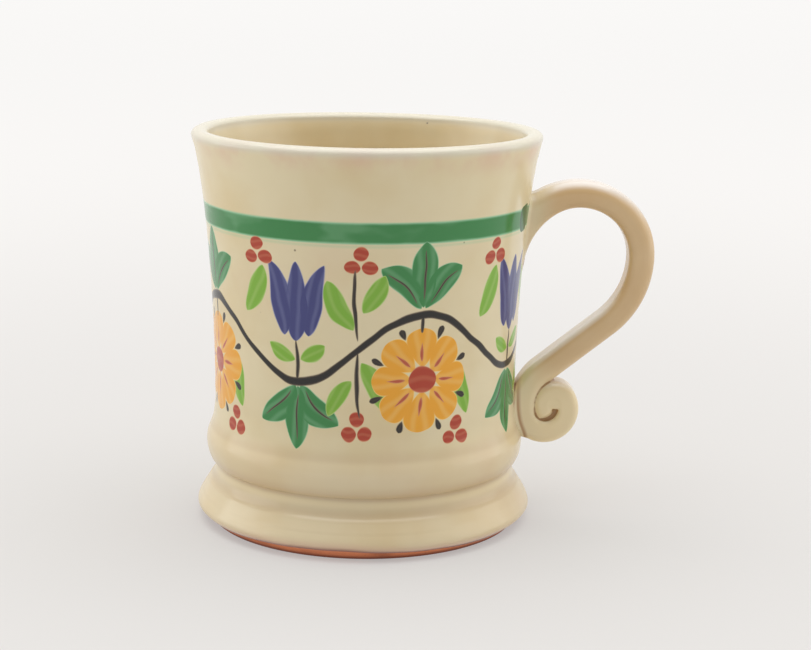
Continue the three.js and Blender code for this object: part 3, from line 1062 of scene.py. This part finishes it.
# Middle along the wall and up it, slant in degrees, length, width and bend
Stroke = namedtuple("Stroke", "x y slant length width bend")
LEAVES = (
    Stroke(-4.4, 63.4, 116, 13.5, 5.6, 0.3),
    Stroke(3.4, 43.0, -64, 13.5, 5.6, 0.3),
    Stroke(-28.0, 65.6, 66, 13.5, 5.6, -0.3),
    Stroke(28.4, 41.0, -80, 13, 5.2, -0.3),
    Stroke(3.4, 66.6, 62, 11, 4.8, -0.3),
    Stroke(-4.6, 40.0, -122, 11, 4.8, -0.3),
)
BERRIES = ((0.4, 74.4), (-0.4, 32.4), (-26.2, 75.2), (26.2, 30.4))


def brush_stroke_group(softness):
    """Node group: how thickly one brush stroke covers a place on the wall."""
    tree = bpy.data.node_groups.new("Brush stroke", "ShaderNodeTree")
    for name in ("Place", "Centre"):
        tree.interface.new_socket(name, in_out="INPUT", socket_type="NodeSocketVector")
    for name in ("Angle", "Half length", "Half width", "Bend", "Point", "Swell", "Seed"):
        tree.interface.new_socket(name, in_out="INPUT", socket_type="NodeSocketFloat")
    tree.interface.new_socket("Cover", in_out="OUTPUT", socket_type="NodeSocketFloat")
    given = tree.nodes.new("NodeGroupInput").outputs
    offset = vector_maths(tree, "SUBTRACT", given["Place"], given["Centre"])
    rotate = new_node(tree, "VectorRotate", (offset,), rotation_type="Z_AXIS")
    put(tree, rotate.inputs["Angle"], maths(tree, "MULTIPLY", given["Angle"], -1))
    along, across, _ = split(tree, rotate.outputs[0])
    along = maths(tree, "DIVIDE", along, given["Half length"])
    across = maths(tree, "DIVIDE", across, given["Half width"])
    room = maths(tree, "MAXIMUM", maths(tree, "SUBTRACT", 1, maths(tree, "MULTIPLY", along, along)), 0)
    bowed = maths(tree, "SUBTRACT", across, maths(tree, "MULTIPLY", room, given["Bend"]))
    swell = maths(tree, "MULTIPLY_ADD", along, given["Swell"], 1)
    outline = maths(tree, "MULTIPLY", maths(tree, "POWER", room, given["Point"]), swell)
    inside = maths(tree, "SUBTRACT", outline, maths(tree, "ABSOLUTE", bowed))
    inside = maths(tree, "MULTIPLY", inside, given["Half width"])
    past = maths(tree, "MAXIMUM", maths(tree, "SUBTRACT", maths(tree, "ABSOLUTE", along), 1), 0)
    inside = maths(tree, "MULTIPLY_ADD", past, maths(tree, "MULTIPLY", given["Half length"], -1), inside)
    inside = maths(tree, "SUBTRACT", inside, softness * EDGE_INSET)
    cover = ramp(tree, inside, -softness, softness)
    thick = brush_hairs(tree, along, bowed, given["Seed"])
    result = tree.nodes.new("NodeGroupOutput")
    tree.links.new(maths(tree, "MULTIPLY", cover, thick), result.inputs["Cover"])
    return tree


def brush_hairs(tree, along, across, seed):
    """How thickly the hairs of a brush leave the paint, in swaying lines along a stroke."""
    sway = maths(tree, "SINE", maths(tree, "MULTIPLY_ADD", along, SWAY_WAVES, seed))
    swung = maths(tree, "MULTIPLY_ADD", sway, HAIR_SWAY, seed)
    hair = maths(tree, "SINE", maths(tree, "MULTIPLY_ADD", across, HAIR_WAVES, swung))
    return maths(tree, "MULTIPLY_ADD", hair, HAIR_DEPTH, 1 - HAIR_DEPTH)


class Painter:
    """Lays brush strokes of one pigment after another on a base colour."""

    def __init__(self, tree, base, group):
        self.tree = tree
        self.base = base
        self.group = group
        self.cover = None
        self.strokes = 0

    def add(self, cover):
        """Adds a covered patch to the pigment in hand."""
        self.cover = cover if self.cover is None else maths(self.tree, "MAXIMUM", self.cover, cover)

    def stroke(self, place, x, y, slant, length, width, bend=0.0, point=0.7, swell=0.0):
        """Adds one brush stroke: its middle, its slant in degrees, its length and width, and its shape."""
        node = self.tree.nodes.new("ShaderNodeGroup")
        node.node_tree = self.group
        self.strokes += 1
        seed = self.strokes * SEED_STEP
        values = ((x, y, 0), math.radians(slant), length / 2, width / 2, bend, point, swell, seed)
        for socket, value in zip(node.inputs, (place, *values)):
            put(self.tree, socket, value)
        self.add(node.outputs[0])

    def lay(self, thin, deep):
        """Lays the pigment in hand on the base, watery where it is thin."""
        watery = ramp(self.tree, self.cover, 0.02, 0.5)
        full = ramp(self.tree, self.cover, 0.3, 0.95)
        self.base = lay_over(self.tree, self.base, (thin, watery), (deep, full))
        self.cover = None


def frieze_pitch(frieze):
    """The length of one repeat of the frieze along the wall."""
    return 2 * math.pi * frieze.wall_radius / frieze.repeats


def wall_places(tree, place, frieze):
    """Places on the wall: along it and up it, wandering a little, and the same within one repeat."""
    halves = (0.5, 0.5, 0.5)
    x, y, level = split(tree, place)
    angle = maths(tree, "ARCTAN2", x, maths(tree, "MULTIPLY", y, -1))
    along = maths(tree, "MULTIPLY", angle, frieze.wall_radius)
    along = maths(tree, "SUBTRACT", along, frieze.start * frieze.wall_radius)
    _, drift = mottle(tree, place, BRUSH_DRIFT, 1)
    drift = scaled(tree, vector_maths(tree, "SUBTRACT", drift, halves), frieze.wander * 2)
    wall = vector_maths(tree, "ADD", join(tree, along, level), drift)
    along, level, _ = split(tree, wall)
    pitch = frieze_pitch(frieze)
    number = maths(tree, "ROUND", maths(tree, "DIVIDE", along, pitch))
    local = maths(tree, "MULTIPLY_ADD", number, -pitch, along)
    chance = tree.nodes.new("ShaderNodeTexWhiteNoise")
    chance.noise_dimensions = "1D"
    put(tree, chance.inputs["W"], maths(tree, "FLOORED_MODULO", number, frieze.repeats))
    shift = scaled(tree, vector_maths(tree, "SUBTRACT", chance.outputs["Color"], halves), frieze.wander)
    return along, level, vector_maths(tree, "ADD", join(tree, local, level), shift)


def petal_place(tree, place, x, y):
    """A place folded round a flower's middle, so that one petal makes them all."""
    right, up, _ = split(tree, vector_maths(tree, "SUBTRACT", place, (x, y, 0)))
    reach = maths(tree, "SQRT", square_sum(tree, right, up))
    angle = maths(tree, "ARCTAN2", up, right)
    above_nought = maths(tree, "ADD", angle, 4 * math.pi)
    folded = maths(tree, "PINGPONG", above_nought, math.pi / PETALS)
    around = maths(tree, "MULTIPLY", reach, maths(tree, "SINE", folded))
    outward = maths(tree, "MULTIPLY", reach, maths(tree, "COSINE", folded))
    return join(tree, outward, around)


def stem_cover(tree, along, level, frieze):
    """The winding stem that runs round the mug."""
    wave = maths(tree, "SINE", maths(tree, "MULTIPLY", along, 2 * math.pi / frieze_pitch(frieze)))
    middle = maths(tree, "MULTIPLY_ADD", wave, frieze.stem_swing, frieze.stem_level)
    off = maths(tree, "ABSOLUTE", maths(tree, "SUBTRACT", level, middle))
    full = frieze.stem_width - frieze.softness
    gone = frieze.stem_width + frieze.softness * 2
    return ramp(tree, off, full, gone, 1, 0)


def band_cover(tree, place, frieze):
    """The plain band under the rim, brushed on a turning wheel, with a thin run along its lower edge."""
    level = split(tree, place)[2]
    off = maths(tree, "ABSOLUTE", maths(tree, "SUBTRACT", level, frieze.band_level))
    stripe = ramp(tree, off, frieze.band_width - 0.8, frieze.band_width + 0.5, 1, 0)
    streak_waves = (0.07, 0.07, 0.16)
    streak, _ = mottle(tree, vector_maths(tree, "MULTIPLY", place, streak_waves), 1.0)
    brushed = maths(tree, "MULTIPLY", stripe, ramp(tree, streak, 0.35, 0.6, 0.76, 1))
    low = frieze.band_level - frieze.band_width
    run = hump(tree, level, low - 1.5, low - 0.6, low + 0.2, 0.2)
    return maths(tree, "MAXIMUM", brushed, run)


def paint_band(tree, painter, place, along, colours, frieze):
    """The plain green band, with the darker lap where its brush stroke ends beside the handle."""
    painter.add(band_cover(tree, place, frieze))
    painter.lay(colours.emerald_thin, colours.emerald)
    lap = (frieze.lap - frieze.start) * frieze.wall_radius
    wall = join(tree, along, split(tree, place)[2])
    painter.stroke(wall, lap, frieze.band_level, 97, length=6.8, width=6.8, bend=0.1, point=0.16)
    painter.lay(colours.emerald, colours.deep_emerald)


def paint_leaf_fan(painter, place, x, y, degrees, full):
    """Three leaves from one point, a straight one and two that bend away, or only their veins."""
    gap = 0.8
    for lean, size in ((0, 16.5), (44, 14.5), (-44, 14.5)):
        slant = degrees + lean
        reach = size / 2 + gap
        middle_x = x + reach * math.cos(math.radians(slant))
        middle_y = y + reach * math.sin(math.radians(slant))
        bend = 0.0 if lean == 0 else math.copysign(0.45, -lean)
        if full:
            painter.stroke(place, middle_x, middle_y, slant, size, 7.2, bend, point=0.75, swell=0.1)
        else:
            painter.stroke(place, middle_x, middle_y, slant, size * 0.75, 0.8, bend * 4, point=0.4)


def paint_leaves(painter, spot, fans, bay, colours):
    """The green fans on the stem, and lime leaves beside the berries and the tulip."""
    for fan in fans:
        paint_leaf_fan(painter, spot, *fan, True)
    painter.lay(colours.emerald_thin, colours.emerald)
    for leaf in LEAVES:
        painter.stroke(spot, *leaf)
    for side in (-1, 1):
        x = side * 4.2 - bay
        painter.stroke(spot, x, 51.2, 90 - side * 62, length=8, width=3.8, bend=-0.3 * side)
    painter.lay(colours.lime_thin, colours.lime)


def paint_tulip(painter, spot, x, y):
    """An upright tulip of three petals."""
    painter.stroke(spot, x, y, 90, length=20, width=6.8, point=0.6, swell=-0.25)
    for side in (-1, 1):
        slant = 90 - side * 13
        painter.stroke(spot, x + side * 5.6, y + 0.6, slant, 19, 6.0, side * 0.5, point=0.65, swell=-0.2)


def paint_berries(painter, spot, x, y):
    """Three berries round a point."""
    for i in range(3):
        swing = QUARTER + i * 2 * math.pi / 3
        berry = (x + BERRY_REACH * math.cos(swing), y + BERRY_REACH * math.sin(swing))
        painter.stroke(spot, *berry, 0, BERRY_SIZE, BERRY_SIZE, point=0.5)


def paint_rust(painter, spot, petal, daisy):
    """The daisy's middle, a line on each of its petals, and the berries."""
    painter.stroke(spot, *daisy, 0, length=7.2, width=7.0, point=0.5)
    painter.stroke(petal, 6.8, 0, 0, length=5, width=1.1, point=0.6, swell=-0.4)
    for berries in BERRIES:
        paint_berries(painter, spot, *berries)


def paint_dark_lines(painter, spot, petal, fans, bay):
    """The veins of the leaves, the small stalks, and a dot between each two petals."""
    for fan in fans:
        paint_leaf_fan(painter, spot, *fan, False)
    stalks = (
        Stroke(bay, 59, 90, 5.5, STALK_WIDTH, 0),
        Stroke(-bay, 49, 90, 10, STALK_WIDTH, 0),
        Stroke(-0.6, 63.5, 92, 18, STALK_WIDTH, 0.8),
        Stroke(0.0, 43.5, 92, 17, STALK_WIDTH, 0.8),
    )
    for stalk in stalks:
        painter.stroke(spot, *stalk, point=0.4)
    tilt = math.pi / PETALS
    reach = 12.4
    dot = (reach * math.cos(tilt), reach * math.sin(tilt))
    painter.stroke(petal, *dot, math.degrees(tilt), length=3.4, width=1.7, point=0.6, swell=0.5)


def paint_frieze(tree, base, place, colours, frieze):
    """The winding stem with its flowers, leaves and berries, and the plain band above."""
    along, level, spot = wall_places(tree, place, frieze)
    painter = Painter(tree, base, brush_stroke_group(frieze.softness))
    bay = frieze_pitch(frieze) / 4
    rise = frieze.stem_swing + FAN_GAP
    fans = ((bay, frieze.stem_level + rise, 90), (-bay, frieze.stem_level - rise, -90))
    daisy = (bay, frieze.daisy_level)
    petal = petal_place(tree, spot, *daisy)
    paint_band(tree, painter, place, along, colours, frieze)
    paint_leaves(painter, spot, fans, bay, colours)
    painter.stroke(petal, 8.0, 0, 0, length=10, width=7.6, point=0.5, swell=0.42)
    painter.lay(colours.amber_thin, colours.amber)
    paint_tulip(painter, spot, -bay, frieze.tulip_level)
    painter.lay(colours.blue_thin, colours.blue)
    paint_rust(painter, spot, petal, daisy)
    painter.lay(colours.rust_thin, colours.rust)
    painter.add(stem_cover(tree, along, level, frieze))
    paint_dark_lines(painter, spot, petal, fans, bay)
    painter.lay(colours.black_thin, colours.black)
    return painter.base


def foot_tints_light_and_shade(tree, level, colours, body):
    """The tints low on the wall: rosy all over, painted light in the cove, and painted shade above the
    foot, under the bead and above it.
    """
    groove = body.groove_level * TO_MM
    return (
        (colours.thin_glaze, ramp(tree, level, groove + 14, groove + 8, 0, 0.12)),
        # Painted light in the cove, then painted shade above the foot, under the bead and above it.
        (colours.painted_light_tan, hump(tree, level, groove - 3.2, groove - 1.8, groove, 0.6)),
        (colours.seam, hump(tree, level, groove - 6.2, groove - 4.2, groove - 2.6, 0.14)),
        (colours.seam, hump(tree, level, groove - 1.4, groove, groove + 4, 0.28)),
        (colours.seam, hump(tree, level, groove + 8.6, groove + 10, groove + 13, 0.14)),
    )


def painted_material(colours, frieze, body):
    """Tin glaze with the frieze in it, rosy under the lip, with a painted highlight on the lip, painted
    light and shade round the bead, and dark at its lower edge, partly as painted shade.
    """
    material, tree, shader = new_material("painted tin glaze")
    place = place_in_mm(tree)
    level = split(tree, place)[2]
    crest = body.height * TO_MM
    patch, _ = mottle(tree, place, LIP_PATCHES, 3)
    near_lip = ramp(tree, level, crest - 9, crest - 2)
    rosy = maths(tree, "MULTIPLY", near_lip, ramp(tree, patch, 0.45, 0.7, 0, 0.6))
    above_edge = marked(tree, "above_edge")
    base = lay_over(
        tree,
        glaze_colour(tree, place, colours, colours.cream, colours.warm_cream),
        (colours.thin_glaze, rosy),
        lip_glaze_and_highlight(tree, level, colours, body),
        *foot_tints_light_and_shade(tree, level, colours, body),
        (colours.thin_glaze, ramp(tree, above_edge, 0.1, 3.2, 0.9, 0)),
        # Dark along the glaze's lower edge: thin glaze over dark clay, and painted shade where the foot
        # meets the floor.
        (colours.dark_clay_and_shade, ramp(tree, above_edge, 0.1, 1.4, 0.9, 0)),
    )
    base = paint_frieze(tree, base, place, colours, frieze)
    finish_glaze(tree, shader, place, base)
    return material


# Stage

IMAGE_WIDTH = 811
SENSOR_WIDTH = 36
NEAREST_SEEN = 0.01
FARTHEST_SEEN = 20
FLOOR_SEGMENTS = 96
MUG_MIDDLE = Vector((0, 0, 0.05))
ROOM_TINT = (1.0, 0.985, 0.96, 1)


def camera_matrix(stage):
    """The camera's place and turn, from its pitch, roll and yaw."""
    flat = math.cos(stage.pitch)
    ahead = Vector((math.sin(stage.yaw) * flat, math.cos(stage.yaw) * flat, -math.sin(stage.pitch)))
    right = Vector((math.cos(stage.yaw), -math.sin(stage.yaw), 0))
    up = right.cross(ahead)
    side = math.cos(stage.roll) * right + math.sin(stage.roll) * up
    top = math.cos(stage.roll) * up - math.sin(stage.roll) * right
    turned = Matrix((side, top, -ahead)).transposed().to_4x4()
    turned.translation = (0, -stage.camera_back, stage.camera_level)
    return turned


def add_camera(stage):
    """A camera at the photograph's viewing angle."""
    data = bpy.data.cameras.new("camera")
    data.sensor_width = SENSOR_WIDTH
    data.lens = stage.focal_pixels * SENSOR_WIDTH / IMAGE_WIDTH
    data.clip_start = NEAREST_SEEN
    data.clip_end = FARTHEST_SEEN
    camera = bpy.data.objects.new("camera", data)
    camera.matrix_world = camera_matrix(stage)
    bpy.context.scene.collection.objects.link(camera)
    bpy.context.scene.camera = camera


def floor_mesh(stage):
    """A wide round floor, so that no side of the mug is hidden."""
    work = bmesh.new()
    bmesh.ops.create_circle(work, cap_ends=True, segments=FLOOR_SEGMENTS, radius=stage.floor_radius)
    mesh = bpy.data.meshes.new("floor")
    work.to_mesh(mesh)
    work.free()
    return mesh


def floor_material(colours, stage):
    """Pale matt paper that glows far from the mug, where the panels don't reach."""
    material, tree, shader = new_material("floor paper")
    x, y, _ = split(tree, place_in_mm(tree))
    reach = square_sum(tree, x, y)
    start = (stage.glow_start * TO_MM) ** 2
    part = maths(tree, "DIVIDE", reach, maths(tree, "ADD", reach, start))
    put(tree, shader.inputs["Base Color"], colours.floor)
    put(tree, shader.inputs["Emission Color"], colours.glow)
    put(tree, shader.inputs["Emission Strength"], maths(tree, "MULTIPLY_ADD", part, stage.glow, stage.fill))
    shader.inputs["Specular IOR Level"].default_value = 0
    return material


def add_light_panel(name, place, size, power):
    """A soft white panel of light that faces the mug."""
    data = bpy.data.lights.new(name, "AREA")
    data.shape = "RECTANGLE"
    data.size, data.size_y = size
    data.energy = power
    light = bpy.data.objects.new(name, data)
    light.location = place
    light.rotation_euler = (MUG_MIDDLE - Vector(place)).to_track_quat("-Z", "Y").to_euler()
    bpy.context.scene.collection.objects.link(light)


def set_room(stage):
    """A pale room: brighter behind the mug than in front of it."""
    world = bpy.data.worlds.new("room")
    world.use_nodes = True
    tree = world.node_tree
    tree.nodes.clear()
    around = tree.nodes.new("ShaderNodeTexCoord").outputs["Generated"]
    bright = ramp(tree, split(tree, around)[1], -0.9, 0.6, stage.room_front, stage.room_back)
    background = tree.nodes.new("ShaderNodeBackground")
    tree.links.new(bright, background.inputs["Strength"])
    background.inputs["Color"].default_value = ROOM_TINT
    output = tree.nodes.new("ShaderNodeOutputWorld")
    tree.links.new(background.outputs[0], output.inputs[0])
    bpy.context.scene.world = world


# Operators


class MUG_OT_clay(bpy.types.Operator):
    """Builds the thrown body with its bare foot and the clay strap, and finishes the slip between them"""

    bl_idname = "mug.clay"
    bl_label = "Clay Body"

    def execute(self, context):
        scene = context.scene
        clay = clay_material(scene.mug_colours, scene.mug_body)
        slip = slip_material(scene.mug_colours)
        add_piece("bare_clay", clay_mesh(scene.mug_body), clay, "terracotta", "clay_body")
        strap = strap_clay_mesh(scene.mug_handle, scene.mug_body)
        add_piece("strap_clay", strap, clay, "terracotta", "handle_strap")
        for node in ("upper_slip_joint", "lower_slip_joint"):
            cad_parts[node].data.materials.clear()
            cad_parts[node].data.materials.append(slip)
        return {"FINISHED"}


class MUG_OT_outer_coat(bpy.types.Operator):
    """Builds the outer coat of glaze with its painted frieze"""

    bl_idname = "mug.outer_coat"
    bl_label = "Painted Coat"

    def execute(self, context):
        scene = context.scene
        material = painted_material(scene.mug_colours, scene.mug_frieze, scene.mug_body)
        mesh = outer_coat_mesh(scene.mug_body)
        add_piece("painted_coat", mesh, material, "painted_glaze", "outer_glaze")
        return {"FINISHED"}


class MUG_OT_inner_coat(bpy.types.Operator):
    """Builds the coat of glaze inside the cup"""

    bl_idname = "mug.inner_coat"
    bl_label = "Inner Coat"

    def execute(self, context):
        scene = context.scene
        material = inner_material(scene.mug_colours, scene.mug_body)
        mesh = inner_coat_mesh(scene.mug_body)
        add_piece("inner_coat", mesh, material, "tin_glaze", "inner_glaze")
        return {"FINISHED"}


class MUG_OT_handle(bpy.types.Operator):
    """Builds the glazed strap handle with its scroll"""

    bl_idname = "mug.handle"
    bl_label = "Handle"

    def execute(self, context):
        scene = context.scene
        material = handle_material(scene.mug_colours)
        mesh = handle_mesh(scene.mug_handle, scene.mug_body)
        add_piece("handle_coat", mesh, material, "tin_glaze", "handle_glaze")
        return {"FINISHED"}


class MUG_OT_stage(bpy.types.Operator):
    """Builds the floor, the lights and the camera"""

    bl_idname = "mug.stage"
    bl_label = "Stage"

    def execute(self, context):
        scene = context.scene
        stage = scene.mug_stage
        floor = bpy.data.objects.new("floor", floor_mesh(stage))
        floor.data.materials.append(floor_material(scene.mug_colours, stage))
        scene.collection.objects.link(floor)
        add_camera(stage)
        add_light_panel("top panel", (0, 0, 0.9), (1.2, 1.0), stage.top_power)
        add_light_panel("left panel", (-0.9, 0, 0.25), (0.8, 0.5), stage.left_power)
        add_light_panel("right panel", (0.9, 0, 0.25), (0.8, 0.5), stage.right_power)
        set_room(stage)
        scene.view_settings.view_transform = "Standard"
        return {"FINISHED"}


class MUG_PT_panel(bpy.types.Panel):
    """Lists the pieces of the mug and its stage"""

    bl_idname = "MUG_PT_panel"
    bl_label = "Painted Mug"
    bl_space_type = "VIEW_3D"
    bl_region_type = "UI"
    bl_category = "Mug"

    def draw(self, context):
        """Draws a button for each piece and one for the stage."""
        for operator in OPERATORS:
            self.layout.operator(operator.bl_idname)


OPERATORS = (MUG_OT_clay, MUG_OT_outer_coat, MUG_OT_inner_coat, MUG_OT_handle, MUG_OT_stage)
GROUPS = {
    "mug_body": MugBody,
    "mug_handle": MugHandle,
    "mug_colours": MugColours,
    "mug_frieze": MugFrieze,
    "mug_stage": MugStage,
}


def register():
    """Registers the sizes, the operators and the panel."""
    for name, group in GROUPS.items():
        bpy.utils.register_class(group)
        setattr(bpy.types.Scene, name, bpy.props.PointerProperty(type=group))
    for operator in (*OPERATORS, MUG_PT_panel):
        bpy.utils.register_class(operator)


def unregister():
    """Takes the panel, the operators and the sizes away again."""
    for operator in (MUG_PT_panel, *reversed(OPERATORS)):
        bpy.utils.unregister_class(operator)
    for name, group in reversed(GROUPS.items()):
        delattr(bpy.types.Scene, name)
        bpy.utils.unregister_class(group)


def main():
    """Builds every piece and the stage."""
    register()
    steps = bpy.ops.mug
    for step in (steps.clay, steps.outer_coat, steps.inner_coat, steps.handle, steps.stage):
        step()


if __name__ == "__main__":
    main()
